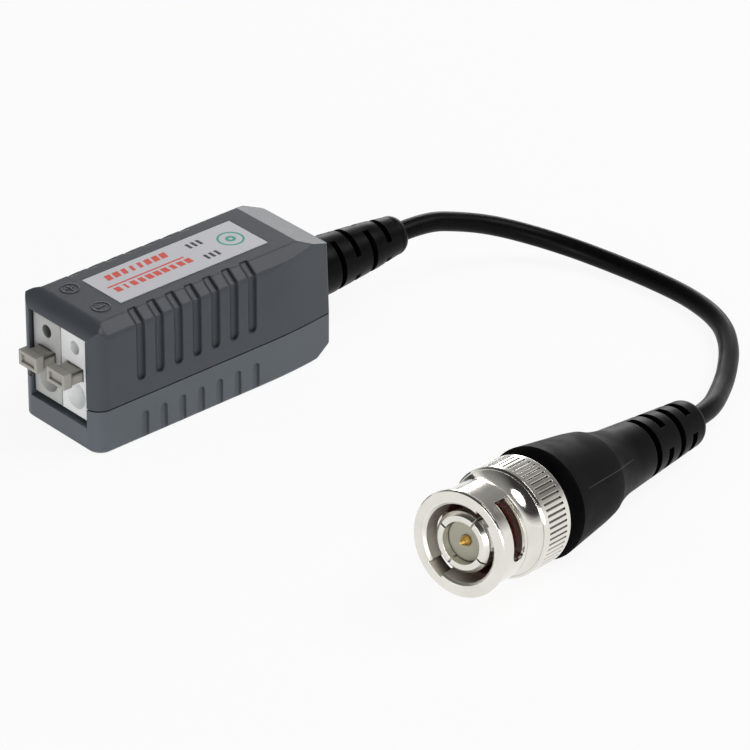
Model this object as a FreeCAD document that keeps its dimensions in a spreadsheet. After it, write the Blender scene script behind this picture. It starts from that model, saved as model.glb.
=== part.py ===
import FreeCAD, Part
import math
import os
import re

import Sketcher
from FreeCAD import Placement, Rotation, Vector

# A video balun for a camera: a small two-part housing with a push-in terminal block at one end,
# a short coaxial tail at the other, and a bayonet plug on the tail.
# Millimetres and degrees. X runs from the terminals to the tail, Z is up, and the origin is
# the middle of the housing's underside. The near side is -Y.

SIZES = {
    # housing
    "housing_length": 41.0,
    "housing_width": 16.12,
    "housing_height": 18.8,
    "parting_height": 6.6,
    "wall": 1.3,
    "rear_wall": 1.6,
    "roof": 2.0,
    "floor": 1.6,
    "front_corner_radius": 2.3,
    "rear_corner_radius": 0.6,
    "brow_radius": 2.6,
    "brow_depth": 1.8,
    "brow_edge_radius": 2.0,
    "facet_inset": 1.81,
    "facet_drop": 1.34,
    "tail_length": 11.9,
    "tail_inset_low": 0.8,
    "tail_inset_top": 1.37,
    "rear_bevel_run": 5.1,
    "rear_bevel_drop": 2.0,
    "heel_run": 3.5,
    "heel_rise": 2.1,
    "bottom_chamfer": 0.5,
    "lap_height": 1.0,
    "lap_thickness": 0.6,
    "lap_clearance": 0.05,
    "seam_height": 0.2,
    "seam_depth": 0.25,
    # finger grips
    "grip_count": 7,
    "grip_pitch": 3.17,
    "grip_first": 8.31,
    "grip_depth": 0.45,
    "grip_floor_width": 1.0,
    "grip_width": 1.6,
    "grip_bottom": 8.95,
    "grip_notch": 0.35,
    "foot_grip_width": 1.2,
    "foot_grip_lag": 0.23,
    "foot_grip_top": 4.15,
    "foot_grip_depth": 0.35,
    # label
    "label_length": 25.14,
    "label_width": 8.0,
    "label_front": 7.55,
    "label_thickness": 0.4,
    "label_proud": 0.05,
    "label_clearance": 0.06,
    # front opening and terminal poles
    "sill_height": 3.6,
    "opening_clearance": 0.05,
    "pole_width": 5.8,
    "pole_headroom": 0.25,
    "pole_depth": 9.5,
    "pole_recess": 0.6,
    "pole_chamfer": 0.15,
    "wire_share": 0.249,
    "wire_hole_radius": 1.3,
    "funnel_radius": 2.0,
    "funnel_depth": 2.0,
    "test_hole_share": 0.81124,
    "test_hole_radius": 0.925,
    "test_hole_depth": 4.0,
    "cage_front_wall": 4.0,
    "cage_width": 4.4,
    "cage_bottom": 5.4,
    "cage_headroom": 0.9,
    # release tabs
    "tab_share": 0.46586,
    "tab_stem_width": 3.2,
    "tab_stem_height": 1.6,
    "tab_clearance": 0.15,
    "tab_head_width": 3.64,
    "tab_head_height": 2.2,
    "tab_head_thickness": 1.3,
    "tab_head_gap": 2.0,
    "tab_head_drop": 0.1,
    "tab_recess": 0.35,
    "tab_recess_border": 0.5,
    "tab_groove_width": 0.4,
    "tab_groove_depth": 1.1,
    "tab_groove_offset": 1.0,
    "tab_fence_drop": 0.4,
    "tab_hook_rise": 0.6,
    "tab_hook_length": 0.7,
    "tab_hook_width": 2.4,
    "tab_hook_play": 0.05,
    # contact bars and clamp springs
    "bar_thickness": 0.4,
    "bar_width": 3.0,
    "bar_headroom": 0.7,
    "solder_pin_width": 0.8,
    "solder_pin_gap": 0.5,
    "solder_pin_reach": 0.5,
    "spring_thickness": 0.3,
    "spring_bend_radius": 1.1,
    "spring_gap": 0.15,
    "spring_tip_drop": 0.7,
    "spring_tip_lead": 2.0,
    # circuit board
    "board_thickness": 1.2,
    "board_seat": 2.9,
    "board_front_gap": 0.6,
    "board_length": 34.6,
    "board_side_gap": 0.76,
    "board_corner_radius": 0.8,
    "board_hole_radius": 0.55,
    "post_radius": 1.0,
    "post_inset": 1.6,
    # electronics
    "core_outer_radius": 4.0,
    "core_inner_radius": 2.1,
    "core_height": 3.6,
    "core_place": 13.4,
    "winding_thickness": 0.5,
    "winding_clearance": 0.04,
    "winding_sweep": 150,
    "capacitor_radius": 3.0,
    "capacitor_thickness": 2.4,
    "capacitor_rise": 1.2,
    "capacitor_place": 4.8,
    "capacitor_lead_spacing": 5.0,
    "lead_radius": 0.25,
    "lead_reach": 1.8,
    "suppressor_radius": 1.35,
    "suppressor_length": 5.2,
    "suppressor_place": 19.6,
    "resistor_radius": 1.15,
    "resistor_waist_radius": 1.0,
    "resistor_cap_length": 1.2,
    "resistor_length": 6.0,
    "resistor_place": 22.4,
    "part_lift": 0.3,
    "lead_bend_radius": 0.7,
    "lead_overhang": 1.0,
    # cable and its leads inside
    "cable_radius": 1.4,
    "cable_clearance": 0.05,
    "tail_reach": 2.9,
    "core_lead_radius": 0.5,
    "shield_lead_radius": 0.4,
    "core_lead_offset": 0.35,
    "shield_lead_offset": 0.8,
    "lead_run": 0.4,
    # cable gland
    "gland_height": 9.1,
    "gland_length": 18.8,
    "gland_root_radius": 4.3,
    "gland_shoulder": 4.5,
    "gland_shoulder_radius": 4.1,
    "gland_waist": 13.0,
    "gland_waist_radius": 3.35,
    "gland_nose": 1.7,
    "gland_tip_radius": 2.8,
    "gland_mouth_radius": 1.7,
    "gland_nose_radius": 1.6,
    "gland_neck_radius": 3.6,
    "gland_flange_radius": 4.8,
    "gland_flange_thickness": 1.1,
    "gland_clearance": 0.05,
    "slot_core_radius": 2.3,
    "gland_slot_first": 5.4,
    "gland_slot_pitch": 3.05,
    "gland_slot_width": 0.95,
    "slot_count": 4,
    "side_slot_sweep": 144,
    "cross_slot_sweep": 136,
    # plug: how it lies
    "plug_x": -9.6,
    "plug_y": -65.54,
    "plug_yaw": 10.95,
    "plug_pitch": 6.82,
    # coupling nut, measured back from its front face
    "nut_bore_radius": 5.15,
    "nut_mouth_radius": 5.45,
    "nut_lip_chamfer": 0.15,
    "nut_lip_radius": 7.0,
    "nut_lip_length": 0.5,
    "nut_sleeve_radius": 6.55,
    "nut_sleeve_end": 5.4,
    "nut_neck_radius": 6.4,
    "nut_neck_rise": 0.57,
    "nut_neck_curve": 3.2,
    "nut_neck_end": 8.3,
    "nut_ring_radius": 7.32,
    "nut_length": 14.1,
    "nut_flange_front": 11.0,
    "nut_flange_thickness": 2.0,
    "nut_flange_bore": 4.02,
    "nut_recess_radius": 5.2,
    "nut_ring_chamfer": 0.25,
    "nut_bevel_run": 0.5,
    "nut_bevel_drop": 0.2,
    "knurl_front": 9.2,
    "knurl_end": 12.9,
    "knurl_count": 60,
    "knurl_depth": 0.18,
    "knurl_width": 0.5,
    "bayonet_front": 2.6,
    "bayonet_width": 2.3,
    "bayonet_start": 26,
    "bayonet_seat": 91.5,
    "entry_start": 22,
    "entry_end": 47,
    "entry_radius": 5.75,
    # plug body and what it carries
    "shank_radius": 3.9,
    "body_flange_radius": 4.85,
    "body_flange_front": 7.7,
    "body_flange_thickness": 1.3,
    "collar_front": 14.9,
    "collar_radius": 5.1,
    "boot_front": 16.45,
    "crimp_neck_radius": 2.6,
    "crimp_neck_end": 25.0,
    "bore_clearance": 0.05,
    "ring_groove_depth": 0.4,
    "ring_thickness": 0.6,
    "ring_radius": 4.7,
    "ring_gap_sweep": 40,
    "ring_play": 0.05,
    "thrust_washer_thickness": 0.4,
    "spring_washer_thickness": 0.3,
    "washer_radius": 4.8,
    "washer_bore": 4.0,
    "washer_play": 0.02,
    "nut_float": 0.5,
    "gasket_thickness": 1.0,
    "contact_front": 0.45,
    "contact_radius": 4.05,
    "contact_bore": 2.8,
    "contact_slit_width": 0.25,
    "contact_chamfer": 0.5,
    "contact_slit_end": 6.2,
    "contact_slit_roll": 26,
    "insulator_front": 1.7,
    "insulator_end": 13.0,
    "pin_radius": 0.675,
    "pin_tip": 0.35,
    "pin_cone": 1.0,
    "pin_tip_radius": 0.15,
    "pin_end": 15.0,
    "ferrule_front": 18.0,
    "ferrule_radius": 3.3,
    # plug boot
    "boot_rim_radius": 7.53,
    "boot_roll": -34,
    "boot_hip": 23.7,
    "boot_hip_radius": 6.6,
    "boot_hip_curve": 40,
    "boot_crease": 27.5,
    "boot_crease_radius": 6.0,
    "boot_slope_curve": 20,
    "boot_relief_start": 34.4,
    "boot_relief_radius": 4.45,
    "boot_nose": 1.7,
    "boot_nose_radius": 1.6,
    "boot_mouth_radius": 1.9,
    "boot_tip_radius": 3.3,
    "boot_end": 51.3,
    "boot_slot_first": 38.2,
    "boot_slot_pitch": 3.1,
    "boot_slot_width": 1.3,
}

DERIVED = {
    "front": "0 - housing_length / 2",
    "rear": "housing_length / 2",
    "half_width": "housing_width / 2",
    "top": "housing_height",
    "taper_start": "rear - tail_length",
    "tail_half_width_low": "half_width - tail_inset_low",
    "tail_half_width_top": "half_width - tail_inset_top",
    # how far a cut runs past the faces it goes through, or past an edge that it only just meets
    "over": "1",
    "past": "0.1",
    # the facet, seen along X
    "facet_side_height": "top - facet_drop",
    "facet_top_half_width": "half_width - facet_inset",
    "facet_tilt": "atan(facet_drop / facet_inset)",
    "facet_width": "sqrt(facet_inset ^ 2 + facet_drop ^ 2)",
    # what the poles stand on and reach, and the heights of what they hold
    "board_top": "board_seat + board_thickness",
    "board_width": "housing_width - 2 * (wall + board_side_gap)",
    "pole_top": "top - roof - pole_headroom",
    "pole_height": "pole_top - board_top",
    "wire_height": "board_top + wire_share * pole_height",
    "test_hole_height": "board_top + test_hole_share * pole_height",
    "tab_height": "board_top + tab_share * pole_height",
    "cage_top": "stem_top + tab_hook_rise + cage_headroom",
    "pole_front": "front + pole_recess",
    "pole_rear": "pole_front + pole_depth",
    "cage_front": "pole_front + cage_front_wall",
    "opening_half": "pole_width + opening_clearance",
    "stem_top": "tab_height + tab_stem_height",
    "head_rear": "pole_front - tab_head_gap",
    "head_front": "head_rear - tab_head_thickness",
    "hook_front": "cage_front + tab_hook_play",
    "stem_end": "hook_front + tab_hook_length",
    "bar_top": "cage_bottom + bar_thickness",
    "upright_top": "cage_top - bar_headroom",
    "spring_tip_height": "wire_height - spring_tip_drop",
    "upright_front": "pole_rear - bar_thickness",
    "pin_x": "pole_rear + solder_pin_gap",
    "board_front": "front + wall + board_front_gap",
    # cable, gland and boot
    "gland_bore": "cable_radius + cable_clearance",
    "gland_tip": "gland_length - gland_nose",
    "boot_tip": "boot_end - boot_nose",
    "tail_front": "rear - rear_wall - gland_flange_thickness - tail_reach",
    # plug, which rests on the boot's rim
    "plug_z": "boot_rim_radius * cos(plug_pitch) + boot_front * sin(plug_pitch)",
    "nut_flange_end": "nut_flange_front + nut_flange_thickness",
    "body_flange_end": "body_flange_front + body_flange_thickness",
    "ring_front": "nut_flange_end + ring_play",
    "thrust_front": "nut_flange_front - washer_play - thrust_washer_thickness",
    "spring_front": "body_flange_end + nut_float",
    "groove_radius": "shank_radius - ring_groove_depth",
    "insulator_radius": "contact_bore - bore_clearance",
}

# The free cable's way from the gland to the boot. Its first and last points come from the gland
# and the boot, and these lie between them.
CABLE_FIRST_RUN = 5.0
CABLE_LAST_RUN = 4.7
CABLE_POINTS = [
    (49.7, -1.0, 7.6),
    (54.6, -2.4, 5.9),
    (59.3, -5.3, 3.9),
    (63.0, -10.0, 2.4),
    (65.3, -16.5, 1.6),
    (66.4, -23.7, 1.42),
    (66.5, -30.9, 1.42),
    (64.8, -37.7, 1.42),
    (60.8, -43.2, 1.42),
    (55.7, -47.7, 1.42),
    (51.1, -51.0, 1.7),
]
ARC_SHARE = 0.45
LEAST_CUT = 1e-4

doc = FreeCAD.newDocument("balun")
sheet = doc.addObject("Spreadsheet::Sheet", "sizes")
for row, (name, value) in enumerate(SIZES.items(), 1):
    sheet.set(f"A{row}", name)
    sheet.set(f"B{row}", str(value))
    sheet.setAlias(f"B{row}", name)
doc.recompute()

WORD = re.compile(r"[a-z][a-z_]*[a-z]")


def formula(text):
    """The text with derived values written out and cells named in full."""

    def full_name(match):
        word = match.group()
        if word in DERIVED:
            return "(" + formula(DERIVED[word]) + ")"
        if word in SIZES:
            return "sizes." + word
        return word

    return WORD.sub(full_name, str(text))


def number(text):
    """What the text comes to with the sheet's present sizes."""
    value = sheet.evalExpression(formula(text))
    return float(getattr(value, "Value", value))


def bind(item, prop, text):
    item.setExpression(prop, formula(text))


# Sketches

def new_body(label):
    body = doc.addObject("PartDesign::Body", label)
    body.Label = label
    return body


def origin(body, role):
    return next(item for item in body.Origin.OriginFeatures if item.Role == role)


def new_sketch(body, plane, lift="0"):
    """A sketch on one of the body's origin planes, lifted along the plane's normal."""
    sketch = body.newObject("Sketcher::SketchObject", "Sketch")
    sketch.AttachmentSupport = [(origin(body, plane + "_Plane"), "")]
    sketch.MapMode = "FlatFace"
    bind(sketch, "AttachmentOffset.Base.z", lift)
    return sketch


def radial_sketch(body, angle):
    """A sketch through the body's X axis, its second axis turned by angle from Z towards -Y."""
    sketch = body.newObject("Sketcher::SketchObject", "Sketch")
    sketch.AttachmentSupport = [(origin(body, "XY_Plane"), "")]
    sketch.MapMode = "FlatFace"
    sketch.AttachmentOffset = Placement(Vector(), Rotation(Vector(1, 0, 0), 1))
    bind(sketch, "AttachmentOffset.Rotation.Angle", f"90 + ({angle})")
    return sketch


def hold(sketch, constraints):
    """Adds constraints given as (kind, geometry, point, ..., text) and binds the sized ones."""
    for *what, text in constraints:
        if text is None:
            sketch.addConstraint(Sketcher.Constraint(*what))
        else:
            index = sketch.addConstraint(Sketcher.Constraint(*what, number(text)))
            bind(sketch, f"Constraints[{index}]", text)


def place_point(geometry, end, across, up):
    return [
        ("DistanceX", -1, 1, geometry, end, across),
        ("DistanceY", -1, 1, geometry, end, up),
    ]


def bulged_arc(start, finish, radius):
    """The arc between two points that bulges right of its way, or left if radius is negative."""
    chord = finish - start
    right = Vector(chord.y, -chord.x, 0).normalize()
    bulge = abs(radius) - math.sqrt(max(radius ** 2 - chord.Length ** 2 / 4, 0))
    middle = (start + finish) / 2 + right * math.copysign(bulge, radius)
    return Part.Arc(start, middle, finish)


def outline(sketch, corners, closed=True):
    """Joins corners (across, up) into a loop or an open path. A third text is the radius of the
    arc that leaves the corner, positive where it bulges outwards on a loop drawn anticlockwise."""
    points = [Vector(number(corner[0]), number(corner[1]), 0) for corner in corners]
    first = sketch.GeometryCount
    count = len(corners)
    edges = count if closed else count - 1
    starts = []
    constraints = []
    for index in range(edges):
        corner = corners[index]
        start, finish = points[index], points[(index + 1) % count]
        if len(corner) == 3:
            edge = bulged_arc(start, finish, number(corner[2]))
            constraints.append(("Radius", first + index, corner[2].lstrip("-")))
        else:
            edge = Part.LineSegment(start, finish)
        sketch.addGeometry(edge)
        begins = sketch.getPoint(first + index, 1).distanceToPoint(start)
        ends = sketch.getPoint(first + index, 2).distanceToPoint(start)
        starts.append(1 if begins < ends else 2)
        constraints += place_point(first + index, starts[index], corner[0], corner[1])
    for index in range(edges if closed else edges - 1):
        following = (index + 1) % count
        finish, start = 3 - starts[index], starts[following]
        constraints.append(("Coincident", first + index, finish, first + following, start, None))
    if not closed:
        constraints += place_point(first + edges - 1, 3 - starts[-1], *corners[-1][:2])
    hold(sketch, constraints)
    return sketch


def box_outline(sketch, low, high):
    """A rectangle from its low corner (across, up) to its high corner."""
    return outline(sketch, [low, (high[0], low[1]), high, (low[0], high[1])])


def circle(sketch, across, up, radius):
    centre = Vector(number(across), number(up), 0)
    geometry = sketch.addGeometry(Part.Circle(centre, Vector(0, 0, 1), number(radius)))
    hold(sketch, place_point(geometry, 3, across, up) + [("Radius", geometry, radius)])
    return sketch


# Features

def extrude(body, kind, sketch, length, both_ways, reverse):
    feature = body.newObject("PartDesign::" + kind, kind)
    feature.Profile = sketch
    bind(feature, "Length", length)
    feature.SideType = "Symmetric" if both_ways else "One side"
    feature.Reversed = reverse
    return feature


def pad(body, sketch, length, both_ways=False):
    """Adds material along the sketch's normal, or half of it each way."""
    return extrude(body, "Pad", sketch, length, both_ways, False)


def pocket(body, sketch, length, both_ways=False, along_normal=False):
    """Takes material away against the sketch's normal, along it, or both ways."""
    return extrude(body, "Pocket", sketch, length, both_ways, along_normal)


def revolve(body, sketch, kind="Revolution", sweep=None, axis="H_Axis"):
    """Turns a sketch about one of its axes: all the way, or by sweep with the sketch midway."""
    feature = body.newObject("PartDesign::" + kind, kind)
    feature.Profile = sketch
    feature.ReferenceAxis = (sketch, [axis])
    if sweep:
        bind(feature, "Angle", sweep)
        feature.Midplane = True
    return feature


def loft(body, lower, upper, kind="AdditiveLoft"):
    feature = body.newObject("PartDesign::" + kind, kind)
    feature.Profile = lower
    feature.Sections = [upper]
    feature.Ruled = True
    return feature


def row_along_x(body, features, count, pitch):
    feature = body.newObject("PartDesign::LinearPattern", "Row")
    feature.Originals = features
    feature.Direction = (origin(body, "X_Axis"), [""])
    bind(feature, "Length", f"({count} - 1) * {pitch}")
    bind(feature, "Occurrences", count)
    body.Tip = feature
    return feature


def ring_about_x(body, features, count):
    feature = body.newObject("PartDesign::PolarPattern", "Ring")
    feature.Originals = features
    feature.Axis = (origin(body, "X_Axis"), [""])
    feature.Angle = 360
    bind(feature, "Occurrences", count)
    body.Tip = feature
    return feature


def dress(body, kind, base, size, test):
    """A Fillet or Chamfer on those edges of the last feature that pass the test."""
    doc.recompute()
    names = [f"Edge{index}" for index, edge in enumerate(base.Shape.Edges, 1) if test(edge)]
    feature = body.newObject("PartDesign::" + kind, kind)
    feature.Base = (base, names)
    bind(feature, "Radius" if kind == "Fillet" else "Size", size)
    return feature


def ends_of(edge):
    return [vertex.Point for vertex in edge.Vertexes]


def put(body, x="0", y="0", z="0", yaw="0"):
    bind(
        body, "Placement",
        f"create(<<placement>>; create(<<vector>>; {x}; {y}; {z}); create(<<rotation>>; {yaw}; 0; 0))",
    )


def put_on_plug(body, roll="0"):
    """Lays a piece that is drawn along X, from the nut's front face back, where the plug lies."""
    bind(
        body, "Placement",
        "create(<<placement>>; create(<<vector>>; plug_x; plug_y; plug_z); "
        f"create(<<rotation>>; plug_yaw; plug_pitch; {roll}))",
    )


# Housing

def plan(sketch, inset, back, tail_half_width):
    """The housing seen from above, moved in by inset: round front corners and a tail that
    curves in towards the cable."""
    ahead = f"front + {inset}"
    half = f"half_width - {inset}"
    tail_half = f"{tail_half_width} - {inset}"
    corner = f"front_corner_radius - {inset}"
    drop = f"(half_width - {tail_half_width})"
    turn = "rear_corner_radius"
    run = f"({back} - {turn} - taper_start)"
    tail_radius = f"({run} ^ 2 + {drop} ^ 2) / (2 * {drop})"
    return outline(sketch, [
        (f"{ahead} + {corner}", f"0 - ({half})"),
        ("taper_start", f"0 - ({half})", tail_radius),
        (f"{back} - {turn}", f"0 - ({tail_half})", turn),
        (back, f"0 - ({tail_half} - {turn})"),
        (back, f"{tail_half} - {turn}", turn),
        (f"{back} - {turn}", tail_half, tail_radius),
        ("taper_start", half),
        (f"{ahead} + {corner}", half, corner),
        (ahead, f"{half} - ({corner})"),
        (ahead, f"0 - ({half} - ({corner}))", corner),
    ])


def facet_sketch(body, side, sunk="0"):
    """A sketch on the sloping facet, across along X and up along the slope, or sunk below it."""
    sketch = body.newObject("Sketcher::SketchObject", "Sketch")
    sketch.AttachmentSupport = [(origin(body, "XY_Plane"), "")]
    sketch.MapMode = "FlatFace"
    sketch.AttachmentOffset = Placement(Vector(), Rotation(Vector(1, 0, 0), 1))
    bind(sketch, "AttachmentOffset.Rotation.Angle", f"{-side} * facet_tilt")
    bind(sketch, "AttachmentOffset.Base.y", f"{side} * (facet_top_half_width - {sunk} * sin(facet_tilt))")
    bind(sketch, "AttachmentOffset.Base.z", f"top - {sunk} * cos(facet_tilt)")
    return sketch


def cut_facet(body, side):
    """Takes the long top edge off behind the brow, to a flat band with a rounded front end."""
    low = "0 - past" if side > 0 else "0 - facet_width - past"
    middle = f"{low} + facet_width / 2 + past"
    high = f"{low} + facet_width + 2 * past"
    nose = "front + brow_depth"
    bend = "facet_width / 2 + past"
    band = outline(facet_sketch(body, side), [
        (f"{nose} + {bend}", low),
        ("rear + over", low),
        ("rear + over", high),
        (f"{nose} + {bend}", high, bend),
        (nose, middle, bend),
    ])
    pocket(body, band, "facet_inset", along_normal=True)


def cut_grips(body, side):
    """Finger grips down one side: each has a steep wall facing the terminals, a flat floor and a
    slope on its other side, and runs up across the facet to nick the top."""

    def side_section(width, depth, bottom):
        edge = "front + grip_first"
        bend = f"{width} / 2"
        return outline(new_sketch(body, "XZ", f"{-side} * (half_width - {depth})"), [
            (f"{edge} - {width}", f"{bottom} + {bend}", bend),
            (f"{edge} - {bend}", bottom, bend),
            (edge, f"{bottom} + {bend}"),
            (edge, "facet_side_height + past"),
            (f"{edge} - {width}", "facet_side_height + past"),
        ])

    def facet_section(width, depth):
        edge = "front + grip_first"
        low = f"{-side} * grip_notch * cos(facet_tilt)"
        high = f"{side} * (facet_width + grip_depth)"
        if side < 0:
            low, high = high, low
        return box_outline(facet_sketch(body, side, depth), (f"{edge} - {width}", low), (edge, high))

    on_side = loft(
        body, side_section("grip_width", "0", "grip_bottom"),
        side_section("grip_floor_width", "grip_depth", "grip_bottom + past"), "SubtractiveLoft",
    )
    on_facet = loft(
        body, facet_section("grip_width", "0"),
        facet_section("grip_floor_width", "grip_depth"), "SubtractiveLoft",
    )
    row_along_x(body, [on_side, on_facet], "grip_count", "grip_pitch")


def make_upper_shell():
    body = new_body("upper_shell")
    low = plan(new_sketch(body, "XY", "parting_height"), "0", "rear", "tail_half_width_low")
    high = plan(new_sketch(body, "XY", "top"), "0", "rear", "tail_half_width_top")
    loft(body, low, high)

    # the brow rolls down to the front face and, less, to the sides
    pocket(body, outline(new_sketch(body, "XZ"), [
        ("front", "top - brow_radius", "-brow_radius"),
        ("front + brow_radius", "top"),
        ("front + brow_radius", "top + over"),
        ("front - over", "top + over"),
        ("front - over", "top - brow_radius"),
    ]), "2 * housing_width", both_ways=True)
    edge_rounding = new_sketch(body, "YZ")
    outline(edge_rounding, [
        ("0 - half_width", "top - brow_edge_radius", "-brow_edge_radius"),
        ("0 - half_width + brow_edge_radius", "top"),
        ("0 - half_width + brow_edge_radius", "top + over"),
        ("0 - half_width - over", "top + over"),
        ("0 - half_width - over", "top - brow_edge_radius"),
    ])
    outline(edge_rounding, [
        ("half_width - brow_edge_radius", "top", "-brow_edge_radius"),
        ("half_width", "top - brow_edge_radius"),
        ("half_width + over", "top - brow_edge_radius"),
        ("half_width + over", "top + over"),
        ("half_width - brow_edge_radius", "top + over"),
    ])
    pocket(body, edge_rounding, "2 * housing_length", both_ways=True)

    for side in (-1, 1):
        cut_facet(body, side)
    pocket(body, outline(new_sketch(body, "XZ"), [
        ("rear - rear_bevel_run", "top"),
        ("rear", "top - rear_bevel_drop"),
        ("rear + over", "top - rear_bevel_drop"),
        ("rear + over", "top + over"),
        ("rear - rear_bevel_run", "top + over"),
    ]), "2 * housing_width", both_ways=True)

    # inside: the cavity and the groove that takes the lower shell's tongue
    inner_rear = "rear - rear_wall"
    loft(
        body,
        plan(new_sketch(body, "XY", "parting_height"), "wall", inner_rear, "tail_half_width_low"),
        plan(new_sketch(body, "XY", "top - roof"), "wall", inner_rear, "tail_half_width_top"),
        "SubtractiveLoft",
    )
    lap_inset = "(wall - lap_thickness - lap_clearance)"
    lap_rear = "rear - rear_wall + lap_thickness + lap_clearance"
    lap = plan(new_sketch(body, "XY", "parting_height"), lap_inset, lap_rear, "tail_half_width_low")
    pocket(body, lap, "lap_height + lap_clearance", along_normal=True)

    # openings for the terminals and for the cable gland, and the recess for the label
    pocket(
        body,
        box_outline(
            new_sketch(body, "YZ", "front - over"),
            ("0 - opening_half", "parting_height - over"), ("opening_half", "pole_top + opening_clearance"),
        ),
        "over + wall + past", along_normal=True,
    )
    cut_gland_hole(body)
    half_label = "(label_width / 2 + label_clearance)"
    pocket(
        body,
        box_outline(
            new_sketch(body, "XY", "top"),
            ("front + label_front - label_clearance", f"0 - {half_label}"),
            ("front + label_front + label_length + label_clearance", half_label),
        ),
        "label_thickness - label_proud",
    )
    for side in (-1, 1):
        cut_grips(body, side)


def cut_gland_hole(body):
    hole = circle(
        new_sketch(body, "YZ", "rear + over"), "0", "gland_height",
        "gland_neck_radius + gland_clearance",
    )
    pocket(body, hole, "over + rear_wall + past")


def make_lower_shell():
    body = new_body("lower_shell")
    outside = plan(new_sketch(body, "XY"), "0", "rear", "tail_half_width_low")
    block = pad(body, outside, "parting_height - seam_height")
    dress(
        body, "Chamfer", block, "bottom_chamfer",
        lambda edge: all(abs(point.z) < 0.01 for point in ends_of(edge)),
    )
    pocket(body, outline(new_sketch(body, "XZ"), [
        ("rear - heel_run", "0"),
        ("rear - heel_run", "0 - over"),
        ("rear + over", "0 - over"),
        ("rear + over", "heel_rise"),
        ("rear", "heel_rise"),
    ]), "2 * housing_width", both_ways=True)

    # the set-back rim that leaves a fine dark line under the cover
    rim = plan(
        new_sketch(body, "XY", "parting_height - seam_height"), "seam_depth", "rear - seam_depth",
        "tail_half_width_low",
    )
    pad(body, rim, "seam_height")

    # the tongue, then the tray inside it
    tongue = plan(
        new_sketch(body, "XY", "parting_height"), "(wall - lap_thickness)",
        "rear - rear_wall + lap_thickness", "tail_half_width_low",
    )
    pad(body, tongue, "lap_height")
    tray = plan(
        new_sketch(body, "XY", "parting_height + lap_height"), "wall", "rear - rear_wall",
        "tail_half_width_low",
    )
    pocket(body, tray, "parting_height + lap_height - floor")
    pocket(
        body,
        box_outline(
            new_sketch(body, "YZ", "front - over"),
            ("0 - opening_half", "sill_height"), ("opening_half", "parting_height + lap_height + over"),
        ),
        "over + wall + past", along_normal=True,
    )
    cut_gland_hole(body)

    posts = new_sketch(body, "XY", "floor")
    for along in ("board_front + post_inset", "board_front + board_length - post_inset"):
        for across in ("board_width / 2 - post_inset", "0 - (board_width / 2 - post_inset)"):
            circle(posts, along, across, "post_radius")
    pad(body, posts, "board_seat - floor")

    for side in (-1, 1):
        centre = "front + grip_first - foot_grip_lag"
        half = "foot_grip_width / 2"
        grip = outline(new_sketch(body, "XZ", f"{-side} * half_width"), [
            (f"{centre} - {half}", "0 - over"),
            (f"{centre} + {half}", "0 - over"),
            (f"{centre} + {half}", f"foot_grip_top - {half}", half),
            (centre, "foot_grip_top", half),
            (f"{centre} - {half}", f"foot_grip_top - {half}"),
        ])
        groove = pocket(body, grip, "foot_grip_depth", along_normal=side > 0)
        row_along_x(body, [groove], "grip_count", "grip_pitch")


def make_label():
    body = new_body("label")
    plate = box_outline(
        new_sketch(body, "XY", "top - (label_thickness - label_proud)"),
        ("front + label_front", "0 - label_width / 2"),
        ("front + label_front + label_length", "label_width / 2"),
    )
    pad(body, plate, "label_thickness")


# Terminals

def put_at_pole(body, side):
    put(body, y=f"{side} * pole_width / 2")


def make_terminal_pole(label, side):
    """One pole of the terminal block: a test hole above, the tab's slot, and the wire's funnel
    below, all running into a cage that is open at the back."""
    body = new_body(label)
    put_at_pole(body, side)
    footprint = box_outline(
        new_sketch(body, "XY", "board_top"),
        ("pole_front", "0 - pole_width / 2"), ("pole_rear", "pole_width / 2"),
    )
    block = pad(body, footprint, "pole_height")
    dress(
        body, "Chamfer", block, "pole_chamfer",
        lambda edge: all(abs(point.x - number("pole_front")) < 0.01 for point in ends_of(edge)),
    )
    cage = box_outline(
        new_sketch(body, "YZ", "pole_rear + over"),
        ("0 - cage_width / 2", "cage_bottom"), ("cage_width / 2", "cage_top"),
    )
    pocket(body, cage, "over + pole_depth - cage_front_wall")
    wire_hole = circle(new_sketch(body, "YZ", "pole_front - over"), "0", "wire_height", "wire_hole_radius")
    pocket(body, wire_hole, "over + cage_front_wall + past", along_normal=True)
    revolve(body, outline(new_sketch(body, "XY", "wire_height"), [
        ("pole_front - over", "0"),
        ("pole_front + funnel_depth", "0"),
        ("pole_front + funnel_depth", "wire_hole_radius"),
        ("pole_front", "funnel_radius"),
        ("pole_front - over", "funnel_radius"),
    ]), "Groove")
    test_hole = circle(
        new_sketch(body, "YZ", "pole_front - over"), "0", "test_hole_height", "test_hole_radius"
    )
    pocket(body, test_hole, "over + test_hole_depth", along_normal=True)
    slot_half = "(tab_stem_width / 2 + tab_clearance)"
    slot = box_outline(
        new_sketch(body, "YZ", "pole_front - over"),
        (f"0 - {slot_half}", "tab_height - tab_clearance"), (slot_half, "stem_top + tab_clearance"),
    )
    pocket(body, slot, "over + cage_front_wall + past", along_normal=True)


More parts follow.
